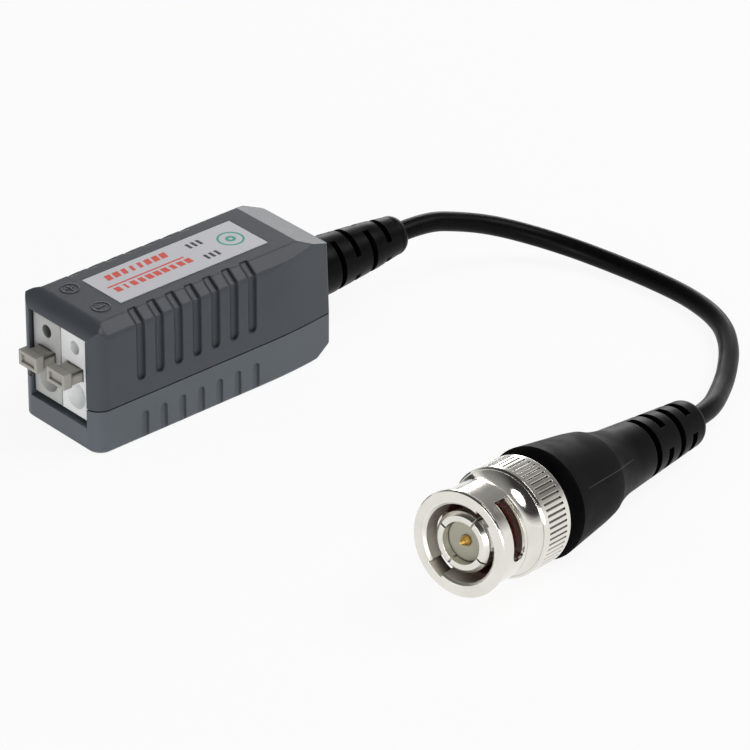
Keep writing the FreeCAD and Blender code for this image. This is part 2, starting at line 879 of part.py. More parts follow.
def make_release_tab(label, side):
    """A lever with a hollow-faced head in front of the block and a hooked stem inside it."""
    body = new_body(label)
    put_at_pole(body, side)
    stem = box_outline(
        new_sketch(body, "XY", "tab_height"),
        ("head_rear - past", "0 - tab_stem_width / 2"), ("stem_end", "tab_stem_width / 2"),
    )
    pad(body, stem, "tab_stem_height")
    head_bottom = "(tab_height - tab_head_drop)"
    head_top = f"{head_bottom} + tab_head_height"
    head = box_outline(
        new_sketch(body, "YZ", "head_front"),
        ("0 - tab_head_width / 2", head_bottom), ("tab_head_width / 2", head_top),
    )
    pad(body, head, "tab_head_thickness")
    hollow_half = "(tab_head_width / 2 - tab_recess_border)"
    hollow = box_outline(
        new_sketch(body, "YZ", "head_front"),
        (f"0 - {hollow_half}", f"{head_bottom} + tab_recess_border"),
        (hollow_half, f"{head_top} - tab_recess_border"),
    )
    pocket(body, hollow, "tab_recess", along_normal=True)

    # a guide groove along the top of the stem up to the hook, with a lower fence outside it
    groove_near = "(0 - tab_groove_offset - tab_groove_width / 2)"
    groove = box_outline(
        new_sketch(body, "YZ", "head_rear"),
        (groove_near, "stem_top - tab_groove_depth"), (f"{groove_near} + tab_groove_width", "stem_top + past"),
    )
    pocket(body, groove, "hook_front - head_rear", along_normal=True)
    fence = box_outline(
        new_sketch(body, "YZ", "head_rear"),
        ("0 - tab_stem_width / 2 - over", "stem_top - tab_fence_drop"), (groove_near, "stem_top + past"),
    )
    pocket(body, fence, "stem_end - head_rear + over", along_normal=True)
    hook = outline(new_sketch(body, "XZ"), [
        ("hook_front", "stem_top - tab_fence_drop"),
        ("stem_end", "stem_top - tab_fence_drop"),
        ("stem_end", "stem_top"),
        ("hook_front", "stem_top + tab_hook_rise"),
    ])
    pad(body, hook, "tab_hook_width", both_ways=True)


def make_contact_bar(label, side):
    """A tinned strip under the wire, with an upright for the spring and a pin to the board."""
    body = new_body(label)
    put_at_pole(body, side)
    strip = outline(new_sketch(body, "XZ"), [
        ("cage_front + spring_gap", "cage_bottom"),
        ("pin_x + bar_thickness", "cage_bottom"),
        ("pin_x + bar_thickness", "bar_top"),
        ("pole_rear", "bar_top"),
        ("pole_rear", "upright_top"),
        ("upright_front", "upright_top"),
        ("upright_front", "bar_top"),
        ("cage_front + spring_gap", "bar_top"),
    ])
    pad(body, strip, "bar_width", both_ways=True)
    pin = box_outline(
        new_sketch(body, "XZ"),
        ("pin_x", "board_seat - solder_pin_reach"), ("pin_x + bar_thickness", "bar_top"),
    )
    pad(body, pin, "solder_pin_width", both_ways=True)


def make_clamp_spring(label, side):
    """A leaf spring: one leg against the upright, a bend behind the tab, and a free leg that
    slants down to the wire."""
    body = new_body(label)
    put_at_pole(body, side)
    high = "(stem_top + spring_gap + spring_thickness)"
    bend = "spring_bend_radius"
    inner = "(spring_bend_radius - spring_thickness)"
    nose = "(stem_end + spring_gap)"
    back = "upright_front - spring_gap"
    leaf = outline(new_sketch(body, "XZ"), [
        (back, f"{high} - spring_thickness"),
        (back, high),
        (f"{nose} + {bend}", high, bend),
        (nose, f"{high} - {bend}", bend),
        (f"{nose} + {bend}", f"{high} - 2 * {bend}"),
        (f"{nose} + {bend} + spring_tip_lead", "spring_tip_height"),
        (f"{nose} + {bend} + spring_tip_lead + spring_thickness", "spring_tip_height"),
        (f"{nose} + {bend}", f"{high} - 2 * {bend} + spring_thickness", f"-{inner}"),
        (f"{nose} + spring_thickness", f"{high} - {bend}", f"-{inner}"),
        (f"{nose} + {bend}", f"{high} - spring_thickness"),
    ])
    pad(body, leaf, "bar_width", both_ways=True)


# Electronics

def lead_places():
    """Where leads and pins pass through the board, as (along, across)."""
    places = [("pin_x + bar_thickness / 2", f"{side} * pole_width / 2") for side in (-1, 1)]
    places += [
        ("pole_rear + capacitor_place", f"{side} * capacitor_lead_spacing / 2") for side in (-1, 1)
    ]
    for name in ("suppressor", "resistor"):
        reach = f"({name}_length / 2 + lead_overhang)"
        places += [(f"pole_rear + {name}_place", f"{side} * {reach}") for side in (-1, 1)]
    down = "tail_front - lead_run - lead_bend_radius"
    places += [(down, "core_lead_offset"), (down, "0 - shield_lead_offset")]
    return places


def make_circuit_board():
    body = new_body("circuit_board")
    board = box_outline(
        new_sketch(body, "XY", "board_seat"),
        ("board_front", "0 - board_width / 2"), ("board_front + board_length", "board_width / 2"),
    )
    slab = pad(body, board, "board_thickness")
    dress(
        body, "Fillet", slab, "board_corner_radius",
        lambda edge: abs(ends_of(edge)[0].z - ends_of(edge)[1].z) > 0.01,
    )
    holes = new_sketch(body, "XY", "board_top")
    for along, across in lead_places():
        circle(holes, along, across, "board_hole_radius")
    pocket(body, holes, "board_thickness + past")


def put_transformer_piece(body, yaw="0"):
    seat = "board_top + winding_thickness + winding_clearance"
    put(body, x="pole_rear + core_place", z=seat, yaw=yaw)


def make_transformer_core():
    body = new_body("transformer_core")
    put_transformer_piece(body)
    section = box_outline(
        new_sketch(body, "XZ"), ("core_inner_radius", "0"), ("core_outer_radius", "core_height")
    )
    revolve(body, section, axis="V_Axis")


def make_winding(label, yaw):
    """A coil as the closed sleeve that its turns make round a part of the core."""
    body = new_body(label)
    put_transformer_piece(body, yaw)
    section = new_sketch(body, "XZ")
    for gap in ("winding_clearance", "(winding_clearance + winding_thickness)"):
        box_outline(
            section,
            (f"core_inner_radius - {gap}", f"0 - {gap}"),
            (f"core_outer_radius + {gap}", f"core_height + {gap}"),
        )
    revolve(body, section, sweep="winding_sweep", axis="V_Axis")


def make_capacitor():
    body = new_body("coupling_capacitor")
    put(body, x="pole_rear + capacitor_place", z="board_top + capacitor_rise + capacitor_radius")
    half = "capacitor_thickness / 2"
    disc = outline(new_sketch(body, "XY"), [
        (f"0 - {half}", "0"),
        (half, "0"),
        (half, f"capacitor_radius - {half}", half),
        ("0", "capacitor_radius", half),
        (f"0 - {half}", f"capacitor_radius - {half}"),
    ])
    revolve(body, disc)
    length = "lead_reach + capacitor_rise + capacitor_radius"
    leads = new_sketch(body, "XY", f"0 - ({length})")
    for side in (-1, 1):
        circle(leads, "0", f"{side} * capacitor_lead_spacing / 2", "lead_radius")
    pad(body, leads, length)


def make_axial_part(label, name, profile):
    """A part with a lead out of each end, bent down through the board. It lies across X."""
    body = new_body(label)
    put(body, x=f"pole_rear + {name}_place", z=f"board_top + part_lift + {name}_radius", yaw="90")
    revolve(body, outline(new_sketch(body, "XY"), profile))
    foot = f"0 - (lead_reach + part_lift + {name}_radius)"
    reach = f"({name}_length / 2 + lead_overhang)"
    bend = "lead_bend_radius"
    wire = outline(new_sketch(body, "XZ"), [
        (f"0 - {reach}", foot),
        (f"0 - {reach}", f"0 - {bend}", f"-{bend}"),
        (f"0 - {reach} + {bend}", "0"),
        (f"{reach} - {bend}", "0", f"-{bend}"),
        (reach, f"0 - {bend}"),
        (reach, foot),
    ], closed=False)
    section = circle(new_sketch(body, "XY", foot), f"0 - {reach}", "0", "lead_radius")
    pipe(body, section, wire)


def pipe(body, section, way):
    feature = body.newObject("PartDesign::AdditivePipe", "Pipe")
    feature.Profile = section
    feature.Spine = (way, [f"Edge{index + 1}" for index in range(way.GeometryCount)])
    return feature


def make_surge_suppressor():
    half = "suppressor_length / 2"
    make_axial_part("surge_suppressor", "suppressor", [
        (f"0 - {half}", "0"),
        (half, "0"),
        (half, "suppressor_radius"),
        (f"0 - {half}", "suppressor_radius"),
    ])


def make_resistor():
    half = "resistor_length / 2"
    cap = f"({half} - resistor_cap_length)"
    make_axial_part("matching_resistor", "resistor", [
        (f"0 - {half}", "0"),
        (half, "0"),
        (half, "resistor_radius"),
        (cap, "resistor_radius"),
        (cap, "resistor_waist_radius"),
        (f"0 - {cap}", "resistor_waist_radius"),
        (f"0 - {cap}", "resistor_radius"),
        (f"0 - {half}", "resistor_radius"),
    ])


# Tail

def cut_slot_rings(body, name, outer_radius):
    """Rings of slots that let a strain relief bend: each ring is cut on two sides, and the
    uncut bridges lie crosswise from ring to ring."""
    for plane, start, sweep in (("XY", 0, "side_slot_sweep"), ("XZ", 1, "cross_slot_sweep")):
        for side in (-1, 1):
            section = new_sketch(body, plane)
            for ring in range(start, int(number("slot_count")), 2):
                near = f"({name}_slot_first + {ring} * {name}_slot_pitch - {name}_slot_width / 2)"
                edges = sorted([f"{side} * slot_core_radius", f"{side} * ({outer_radius} + over)"], key=number)
                box_outline(section, (near, edges[0]), (f"{near} + {name}_slot_width", edges[1]))
            revolve(body, section, "Groove", sweep=sweep)


def make_cable_gland():
    body = new_body("cable_gland")
    put(body, x="rear", z="gland_height")
    inside = "(0 - rear_wall - gland_flange_thickness)"
    revolve(body, outline(new_sketch(body, "XY"), [
        (inside, "gland_bore"),
        ("gland_length", "gland_bore"),
        ("gland_length", "gland_mouth_radius", "gland_nose_radius"),
        ("gland_tip", "gland_tip_radius"),
        ("gland_waist", "gland_waist_radius"),
        ("gland_shoulder", "gland_shoulder_radius"),
        ("0", "gland_root_radius"),
        ("0", "gland_neck_radius"),
        ("0 - rear_wall", "gland_neck_radius"),
        ("0 - rear_wall", "gland_flange_radius"),
        (inside, "gland_flange_radius"),
    ]))
    cut_slot_rings(body, "gland", "gland_root_radius")


def make_cable_tail():
    body = new_body("cable_tail")
    section = circle(new_sketch(body, "YZ", "tail_front"), "0", "gland_height", "cable_radius")
    pad(body, section, "rear + gland_length - tail_front")


def make_tail_lead(label, radius, across):
    """A conductor from the end of the cable's jacket, bent down through the board."""
    body = new_body(label)
    put(body, y=across)
    bend_start = "tail_front - lead_run"
    down = f"{bend_start} - lead_bend_radius"
    way = outline(new_sketch(body, "XZ"), [
        ("tail_front", "gland_height"),
        (bend_start, "gland_height", "lead_bend_radius"),
        (down, "gland_height - lead_bend_radius"),
        (down, "board_top - lead_reach"),
    ], closed=False)
    section = circle(new_sketch(body, "YZ", "tail_front"), "0", "gland_height", radius)
    pipe(body, section, way)


# Plug

def make_turned(label, profile, sweep=None, roll="0"):
    body = new_body(label)
    put_on_plug(body, roll)
    revolve(body, outline(new_sketch(body, "XY"), profile), sweep=sweep)
    return body


def ring_profile(front, inner, end, outer):
    return [(front, inner), (end, inner), (end, outer), (front, outer)]


def make_coupling_nut():
    mouth_depth = "(nut_mouth_radius - nut_bore_radius)"
    chamfer = "nut_ring_chamfer"
    body = make_turned("coupling_nut", [
        ("0", "nut_mouth_radius"),
        (mouth_depth, "nut_bore_radius"),
        ("nut_flange_front", "nut_bore_radius"),
        ("nut_flange_front", "nut_flange_bore"),
        ("nut_flange_end", "nut_flange_bore"),
        ("nut_flange_end", "nut_recess_radius"),
        ("nut_length", "nut_recess_radius"),
        ("nut_length", "nut_ring_radius - nut_bevel_drop"),
        ("nut_length - nut_bevel_run", "nut_ring_radius"),
        (f"nut_neck_end + {chamfer}", "nut_ring_radius"),
        ("nut_neck_end", f"nut_ring_radius - {chamfer}"),
        ("nut_neck_end", "nut_neck_radius + nut_neck_rise", "-nut_neck_curve"),
        ("nut_sleeve_end", "nut_neck_radius"),
        ("nut_sleeve_end", "nut_sleeve_radius"),
        ("nut_lip_length", "nut_sleeve_radius"),
        ("nut_lip_length", "nut_lip_radius"),
        ("nut_lip_chamfer", "nut_lip_radius"),
        ("0", "nut_lip_radius - nut_lip_chamfer"),
    ])

    # two bayonet slots through the sleeve, each with a round seat
    reach = "nut_lip_radius + over"
    for half_turn in (0, 180):
        middle = f"(bayonet_start + bayonet_seat) / 2 + {half_turn}"
        slot = box_outline(
            radial_sketch(body, middle),
            ("bayonet_front", "nut_bore_radius - over"), ("bayonet_front + bayonet_width", reach),
        )
        revolve(body, slot, "Groove", sweep="bayonet_seat - bayonet_start")
    seat = circle(
        radial_sketch(body, "bayonet_seat - 90"),
        "bayonet_front + bayonet_width / 2", "0", "bayonet_width / 2",
    )
    pocket(body, seat, f"2 * ({reach})", both_ways=True)
    # the ways in to them from the mouth, inside the sleeve
    for half_turn in (0, 180):
        middle = f"(entry_start + entry_end) / 2 + {half_turn}"
        way_in = box_outline(
            radial_sketch(body, middle),
            ("0 - over", "nut_bore_radius - over"), ("bayonet_front + bayonet_width", "entry_radius"),
        )
        revolve(body, way_in, "Groove", sweep="entry_end - entry_start")

    # straight knurl round the gripping ring
    tooth_gap = outline(new_sketch(body, "YZ", "knurl_front"), [
        ("0 - knurl_width / 2", "nut_ring_radius + past"),
        ("0", "nut_ring_radius - knurl_depth"),
        ("knurl_width / 2", "nut_ring_radius + past"),
    ])
    notch = pocket(body, tooth_gap, "knurl_end - knurl_front", along_normal=True)
    ring_about_x(body, [notch], "knurl_count")


def make_shield_contact():
    body = make_turned("shield_contact", [
        ("contact_front", "contact_bore"),
        ("body_flange_front", "contact_bore"),
        ("body_flange_front", "contact_radius"),
        ("contact_front + contact_chamfer", "contact_radius"),
        ("contact_front", "contact_radius - contact_chamfer"),
    ])
    for quarter_turn in (0, 90):
        slit = box_outline(
            radial_sketch(body, f"contact_slit_roll + {quarter_turn} - 90"),
            ("contact_front - over", "0 - contact_slit_width / 2"),
            ("contact_slit_end", "contact_slit_width / 2"),
        )
        pocket(body, slit, "2 * (contact_radius + over)", both_ways=True)


def make_plug_body():
    make_turned("plug_body", [
        ("body_flange_front", "contact_bore"),
        ("insulator_end", "contact_bore"),
        ("insulator_end", "gland_bore"),
        ("crimp_neck_end", "gland_bore"),
        ("crimp_neck_end", "crimp_neck_radius"),
        ("boot_front", "crimp_neck_radius"),
        ("boot_front", "collar_radius"),
        ("collar_front", "collar_radius"),
        ("collar_front", "shank_radius"),
        ("ring_front + ring_thickness", "shank_radius"),
        ("ring_front + ring_thickness", "groove_radius"),
        ("ring_front", "groove_radius"),
        ("ring_front", "shank_radius"),
        ("body_flange_end", "shank_radius"),
        ("body_flange_end", "body_flange_radius"),
        ("body_flange_front", "body_flange_radius"),
    ])


def make_small_plug_pieces():
    make_turned("plug_insulator", ring_profile(
        "insulator_front", "pin_radius + bore_clearance", "insulator_end", "insulator_radius"
    ))
    make_turned("centre_pin", [
        ("pin_tip", "0"),
        ("pin_end", "0"),
        ("pin_end", "pin_radius"),
        ("pin_tip + pin_cone", "pin_radius"),
        ("pin_tip", "pin_tip_radius"),
    ])
    make_turned("plug_gasket", ring_profile(
        "body_flange_front - gasket_thickness", "contact_radius + bore_clearance",
        "body_flange_front", "body_flange_radius",
    ))
    make_turned("spring_washer", [
        ("spring_front", "washer_radius"),
        ("thrust_front - spring_washer_thickness", "washer_bore"),
        ("thrust_front", "washer_bore"),
        ("spring_front + spring_washer_thickness", "washer_radius"),
    ])
    make_turned("thrust_washer", ring_profile(
        "thrust_front", "washer_bore", "thrust_front + thrust_washer_thickness", "washer_radius"
    ))
    make_turned("retaining_ring", ring_profile(
        "ring_front", "groove_radius + bore_clearance", "ring_front + ring_thickness", "ring_radius"
    ), sweep="360 - ring_gap_sweep")
    make_turned("crimp_ferrule", ring_profile(
        "ferrule_front", "crimp_neck_radius + bore_clearance", "crimp_neck_end", "ferrule_radius"
    ))
    make_turned("cable_end", ring_profile("crimp_neck_end", "0", "boot_end", "cable_radius"))


def make_plug_boot():
    bore = "(ferrule_radius + bore_clearance)"
    body = make_turned("plug_boot", [
        ("boot_front", bore),
        ("crimp_neck_end", bore),
        ("crimp_neck_end", "gland_bore"),
        ("boot_end", "gland_bore"),
        ("boot_end", "boot_mouth_radius", "boot_nose_radius"),
        ("boot_tip", "boot_tip_radius"),
        ("boot_relief_start", "boot_relief_radius", "-boot_slope_curve"),
        ("boot_crease", "boot_crease_radius", "boot_hip_curve"),
        ("boot_hip", "boot_hip_radius"),
        ("boot_front", "boot_rim_radius"),
    ], roll="boot_roll")
    cut_slot_rings(body, "boot", "boot_relief_radius")


# Free cable

def cable_route():
    gland_mouth = Vector(number("rear + gland_length"), 0, number("gland_height"))
    turn = Rotation(number("plug_yaw"), number("plug_pitch"), 0)
    plug_way = turn.multVec(Vector(1, 0, 0))
    nut_front = Vector(number("plug_x"), number("plug_y"), number("plug_z"))
    boot_mouth = nut_front + plug_way * number("boot_end")
    first = gland_mouth + Vector(CABLE_FIRST_RUN, 0, 0)
    last = boot_mouth + plug_way * CABLE_LAST_RUN
    return [gland_mouth, first, *(Vector(*point) for point in CABLE_POINTS), last, boot_mouth]


def rounded_way(points):
    """Straight runs joined by tangent arcs, each as large as its two runs allow."""
    edges = []
    here = points[0]
    for before, corner, after in zip(points, points[1:], points[2:]):
        back, ahead = before - corner, after - corner
        turn = math.pi - back.getAngle(ahead)
        trim = ARC_SHARE * min(back.Length, ahead.Length)
        radius = trim / math.tan(turn / 2)
        print(f"cable bend radius {radius:.1f} mm")
        start = corner + back.normalize() * trim
        finish = corner + ahead.normalize() * trim
        inward = (start + finish) / 2 - corner
        to_centre = math.hypot(trim, radius)
        middle = corner + inward.normalize() * (to_centre - radius)
        edges.append(Part.LineSegment(here, start).toShape())
        edges.append(Part.Arc(start, middle, finish).toShape())
        here = finish
    edges.append(Part.LineSegment(here, points[-1]).toShape())
    return Part.Wire(edges)


def make_cable():
    points = cable_route()
    way = rounded_way(points)
    radius = number("cable_radius")
    section = Part.Wire(Part.makeCircle(radius, points[0], points[1] - points[0]))
    tube = way.makePipeShell([section], True, False)
    expected = math.pi * radius ** 2 * way.Length
    print(f"cable length {way.Length:.1f} mm, volume {tube.Volume:.1f} of {expected:.1f} mm3")
    if abs(tube.Volume / expected - 1) > 0.01:
        raise RuntimeError("the cable's volume is not its section times its length")
    cable = doc.addObject("Part::Feature", "cable")
    cable.Label = "cable"
    cable.Shape = tube
    cable.Placement = Placement()


# The whole balun

def make_all():
    make_upper_shell()
    make_lower_shell()
    make_label()
    for name, side in (("right", -1), ("left", 1)):
        make_terminal_pole("terminal_pole_" + name, side)
        make_release_tab("release_tab_" + name, side)
        make_clamp_spring("clamp_spring_" + name, side)
        make_contact_bar("contact_bar_" + name, side)
    make_circuit_board()
    make_transformer_core()
    make_winding("primary_winding", "90")
    make_winding("secondary_winding", "270")
    make_capacitor()
    make_surge_suppressor()
    make_resistor()
    make_cable_gland()
    make_cable_tail()
    make_tail_lead("core_lead", "core_lead_radius", "core_lead_offset")
    make_tail_lead("shield_lead", "shield_lead_radius", "0 - shield_lead_offset")
    make_cable()
    make_plug_boot()
    make_plug_body()
    make_shield_contact()
    make_coupling_nut()
    make_small_plug_pieces()
    doc.recompute()


def check_all(pieces):
    """Stops on a failed object, a cut that took nothing away or a piece that isn't one solid."""
    for item in doc.Objects:
        if {"Invalid", "Error"} & set(item.State):
            raise RuntimeError(f"{item.Name} of {item.getParentGeoFeatureGroup().Label} failed")
    cuts = ("Pocket", "Groove", "SubtractiveLoft", "LinearPattern", "PolarPattern")
    for item in doc.Objects:
        if item.TypeId.split("::")[1] in cuts:
            taken = item.BaseFeature.Shape.Volume - item.Shape.Volume
            if taken < LEAST_CUT:
                raise RuntimeError(f"{item.Name} of {item.getParentGeoFeatureGroup().Label} cuts nothing")
    for piece in pieces:
        shape = piece.Shape
        if shape.isNull() or not shape.isValid() or len(shape.Solids) != 1:
            raise RuntimeError(f"{piece.Label} is not one valid solid")


make_all()
pieces = [item for item in doc.Objects if item.TypeId in ("PartDesign::Body", "Part::Feature")]
check_all(pieces)
os.makedirs("parts", exist_ok=True)
for piece in pieces:
    piece.Shape.exportStep(f"parts/{piece.Label}.step")
print(f"{len(pieces)} pieces written")
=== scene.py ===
"""Dresses the video balun's frame: finishes, the cable, moulded marks, print, floor and light."""

import math

import bmesh
import bpy
from mathutils import Matrix, Vector
from mathutils.bvhtree import BVHTree


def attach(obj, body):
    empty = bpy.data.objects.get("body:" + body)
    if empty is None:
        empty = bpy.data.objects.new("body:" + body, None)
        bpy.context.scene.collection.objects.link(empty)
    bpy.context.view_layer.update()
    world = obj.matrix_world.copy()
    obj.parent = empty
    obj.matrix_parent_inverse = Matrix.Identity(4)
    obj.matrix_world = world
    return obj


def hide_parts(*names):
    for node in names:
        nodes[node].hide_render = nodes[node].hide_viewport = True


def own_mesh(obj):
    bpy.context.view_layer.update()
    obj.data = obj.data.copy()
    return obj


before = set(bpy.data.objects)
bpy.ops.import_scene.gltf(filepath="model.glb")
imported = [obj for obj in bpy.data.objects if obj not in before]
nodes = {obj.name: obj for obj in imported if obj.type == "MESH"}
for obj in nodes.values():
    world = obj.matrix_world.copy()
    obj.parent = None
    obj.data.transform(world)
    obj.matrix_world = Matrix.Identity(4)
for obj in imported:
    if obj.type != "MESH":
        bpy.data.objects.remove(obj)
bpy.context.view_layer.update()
bpy.context.scene.view_settings.view_transform = "Standard"
MM = 0.001
TURN = 2 * math.pi

# Camera, at the photograph's angle

CAMERA_AZIMUTH = -41.841
CAMERA_ELEVATION = 29.987
CAMERA_ROLL = 0.407
CAMERA_TARGET = Vector((9.696, -28.333, 10.0)) * MM
CAMERA_DISTANCE = 634.364 * MM
CAMERA_LENS = 233.67
SENSOR = 36.0


def place_camera():
    """A long lens, level but for the photograph's slight roll."""
    azimuth = math.radians(CAMERA_AZIMUTH)
    elevation = math.radians(CAMERA_ELEVATION)
    roll = math.radians(CAMERA_ROLL)
    back = Vector((
        math.sin(azimuth) * math.cos(elevation),
        -math.cos(azimuth) * math.cos(elevation),
        math.sin(elevation),
    ))
    level = Vector((0, 0, 1)).cross(back).normalized()
    rise = back.cross(level)
    right = math.cos(roll) * level + math.sin(roll) * rise
    up = math.cos(roll) * rise - math.sin(roll) * level
    lens = bpy.data.cameras.new("camera")
    lens.lens = CAMERA_LENS
    lens.sensor_width = SENSOR
    lens.clip_start = 0.01
    lens.clip_end = 20
    camera = bpy.data.objects.new("camera", lens)
    turn = Matrix((right, up, back)).transposed().to_4x4()
    camera.matrix_world = Matrix.Translation(CAMERA_TARGET + back * CAMERA_DISTANCE) @ turn
    bpy.context.scene.collection.objects.link(camera)
    bpy.context.scene.camera = camera


# Plug, in millimetres: its front is the nut's front face, and its axis runs back to the cable

PLUG_YAW = math.radians(10.95)
PLUG_PITCH = math.radians(6.82)
PLUG_AXIS = Vector((
    math.cos(PLUG_YAW) * math.cos(PLUG_PITCH),
    math.sin(PLUG_YAW) * math.cos(PLUG_PITCH),
    -math.sin(PLUG_PITCH),
))
BOOT_FRONT = 16.45
BOOT_RIM_RADIUS = 7.53
PLUG_HEIGHT = BOOT_RIM_RADIUS * math.cos(PLUG_PITCH) + BOOT_FRONT * math.sin(PLUG_PITCH)
PLUG_FRONT = Vector((-9.6, -65.54, PLUG_HEIGHT))
PLUG_SIDE = Vector((-math.sin(PLUG_YAW), math.cos(PLUG_YAW), 0))
PLUG_UP = PLUG_AXIS.cross(PLUG_SIDE)


def on_plug(along, angle, radius):
    """A point in millimetres, from its place along the plug's axis and round it."""
    spoke = PLUG_SIDE * math.cos(angle) + PLUG_UP * math.sin(angle)
    return PLUG_FRONT + PLUG_AXIS * along + spoke * radius


# Cable: its radius and length are in metres, and the places on its route in millimetres

CABLE_RADIUS = 1.4 * MM
GLAND_MOUTH = Vector((39.3, 0, 9.1))
FIRST_RUN = 5.0
LAST_RUN = 4.7
BOOT_END = 51.3
CABLE_POINTS = [
    (49.7, -1.0, 7.6),
    (54.6, -2.4, 5.9),
    (59.3, -5.3, 3.9),
    (63.0, -10.0, 2.4),
    (65.3, -16.5, 1.6),
    (66.4, -23.7, 1.42),
    (66.5, -30.9, 1.42),
    (64.8, -37.7, 1.42),
    (60.8, -43.2, 1.42),
    (55.7, -47.7, 1.42),
    (51.1, -51.0, 1.7),
]


def lay_cable():
    """The free cable, level out of the gland, down to the floor and round into the boot."""
    boot_mouth = PLUG_FRONT + PLUG_AXIS * BOOT_END
    route = [
        GLAND_MOUTH,
        GLAND_MOUTH + Vector((FIRST_RUN, 0, 0)),
        *(Vector(point) for point in CABLE_POINTS),
        boot_mouth + PLUG_AXIS * LAST_RUN,
        boot_mouth,
    ]
    curve = bpy.data.curves.new("coax_cable", "CURVE")
    curve.dimensions = "3D"
    line = curve.splines.new("NURBS")
    line.points.add(len(route) - 1)
    for point, place in zip(line.points, route):
        point.co = (*(place * MM), 1)
    line.order_u = 3
    line.use_endpoint_u = True
    line.resolution_u = 10
    curve.bevel_depth = CABLE_RADIUS
    curve.bevel_resolution = 7
    cable = bpy.data.objects.new("coax_cable", curve)
    bpy.context.scene.collection.objects.link(cable)
    cable.data.materials.append(jacket("jacket_black"))
    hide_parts("cable")
    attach(cable, "root")
    return cable


# Finishes: each is a Principled shader with its colour, roughness and bump from noise

def linear(red, green, blue):
    """A display colour, 0 to 255 a channel, as the shader's linear colour."""
    channels = [c / 255 for c in (red, green, blue)]
    return [*(c / 12.92 if c <= 0.04045 else ((c + 0.055) / 1.055) ** 2.4 for c in channels), 1]


def shade(colour, factor, lift=0.0):
    """A linear colour made darker or lighter by a factor, and paler by a lift."""
    return [min(1, c * factor + lift) for c in colour[:3]] + [1]


class Finish:
    """A material and short calls for the nodes that finishes share."""

    def __init__(self, name, **uniform):
        self.material = bpy.data.materials.new(name)
        self.material.use_nodes = True
        self.tree = self.material.node_tree
        self.shader = self.tree.nodes["Principled BSDF"]
        for socket, value in uniform.items():
            self.shader.inputs[socket.replace("_", " ")].default_value = value
        self.place = self.node("ShaderNodeTexCoord").outputs["Object"]

    def node(self, kind, settings=None, **inputs):
        """A node with its settings, and its inputs set to values or linked to sockets."""
        made = self.tree.nodes.new(kind)
        for key, value in (settings or {}).items():
            setattr(made, key, value)
        for key, value in inputs.items():
            self.feed(made.inputs[key.replace("_", " ")], value)
        return made

    def feed(self, socket, value):
        """Links a socket to another one, or sets its value."""
        if isinstance(value, bpy.types.NodeSocket):
            self.tree.links.new(value, socket)
        else:
            socket.default_value = value

    def noise(self, size, detail, vector=None):
        """Noise from 0 to 1 whose features are about size millimetres across."""
        made = self.node(
            "ShaderNodeTexNoise",
            Vector=vector or self.place, Scale=1 / (size * MM), Detail=detail,
        )
        return made.outputs["Fac"]

    def vectors(self, operation, first, second):
        made = self.node("ShaderNodeVectorMath", {"operation": operation})
        self.feed(made.inputs[0], first)
        self.feed(made.inputs[1], second)
        return made

    def along_plug(self):
        """How far back of the nut's front a point lies along the plug's axis, in millimetres."""
        along = self.vectors("DOT_PRODUCT", self.place, PLUG_AXIS / MM).outputs["Value"]
        return self.math("SUBTRACT", along, PLUG_FRONT.dot(PLUG_AXIS))

    def off_plug(self):
        """How far a point lies from the plug's axis, in millimetres."""
        from_front = self.vectors("SUBTRACT", self.place, PLUG_FRONT * MM).outputs["Vector"]
        across = self.vectors("CROSS_PRODUCT", from_front, PLUG_AXIS / MM).outputs["Vector"]
        return self.vectors("LENGTH", across, (0, 0, 0)).outputs["Value"]

    def line_noise(self, value, size, detail):
        """Noise that only changes along one measure, which is in millimetres."""
        made = self.node(
            "ShaderNodeTexNoise", {"noise_dimensions": "1D"}, W=value, Scale=1 / size, Detail=detail,
        )
        return made.outputs["Fac"]

    def spread(self, value, low, high, start=0.3, end=0.7):
        """Goes from low to high as value goes from start to end, and stays between them."""
        made = self.node("ShaderNodeMapRange", Value=value)
        made.inputs["From Min"].default_value = start
        made.inputs["From Max"].default_value = end
        made.inputs["To Min"].default_value = low
        made.inputs["To Max"].default_value = high
        return made.outputs["Result"]

    def math(self, operation, first, second):
        made = self.node("ShaderNodeMath", {"operation": operation})
        self.feed(made.inputs[0], first)
        self.feed(made.inputs[1], second)
        return made.outputs["Value"]

    def blend(self, share, first, second):
        """A colour between two others, as share goes from 0 to 1."""
        made = self.node("ShaderNodeMixRGB", Fac=share)
        self.feed(made.inputs["Color1"], first)
        self.feed(made.inputs["Color2"], second)
        return made.outputs["Color"]

    def tones(self, colour, share, amount):
        """The colour, a little darker and lighter by share."""
        return self.blend(share, shade(colour, 1 - amount), shade(colour, 1 + amount))

    def bump(self, height, depth, normal=None):
        """Relief of about depth millimetres."""
        made = self.node("ShaderNodeBump", Height=height, Distance=depth * MM)
        if normal:
            self.feed(made.inputs["Normal"], normal)
        return made.outputs["Normal"]

    def edges(self, width):
        """1 on the part's outer and inner edges, 0 on its flats, and the softened normal."""
        soft = self.node("ShaderNodeBevel", {"samples": 6}, Radius=width * MM).outputs["Normal"]
        plain = self.node("ShaderNodeNewGeometry").outputs["Normal"]
        match = self.vectors("DOT_PRODUCT", soft, plain).outputs["Value"]
        return self.spread(match, 1, 0, 0.8, 0.99), soft

    def hollows(self, reach, strength=1.0):
        """0 on open faces, up to strength in grooves and corners about reach millimetres deep."""
        around = self.node("ShaderNodeAmbientOcclusion", {"samples": 8}, Distance=reach * MM)
        return self.spread(around.outputs["AO"], strength, 0, 0.4, 0.92)

    def use(self, **inputs):
        """Links the shader's inputs, and gives the finished material."""
        for key, value in inputs.items():
            self.feed(self.shader.inputs[key.replace("_", " ")], value)
        return self.material


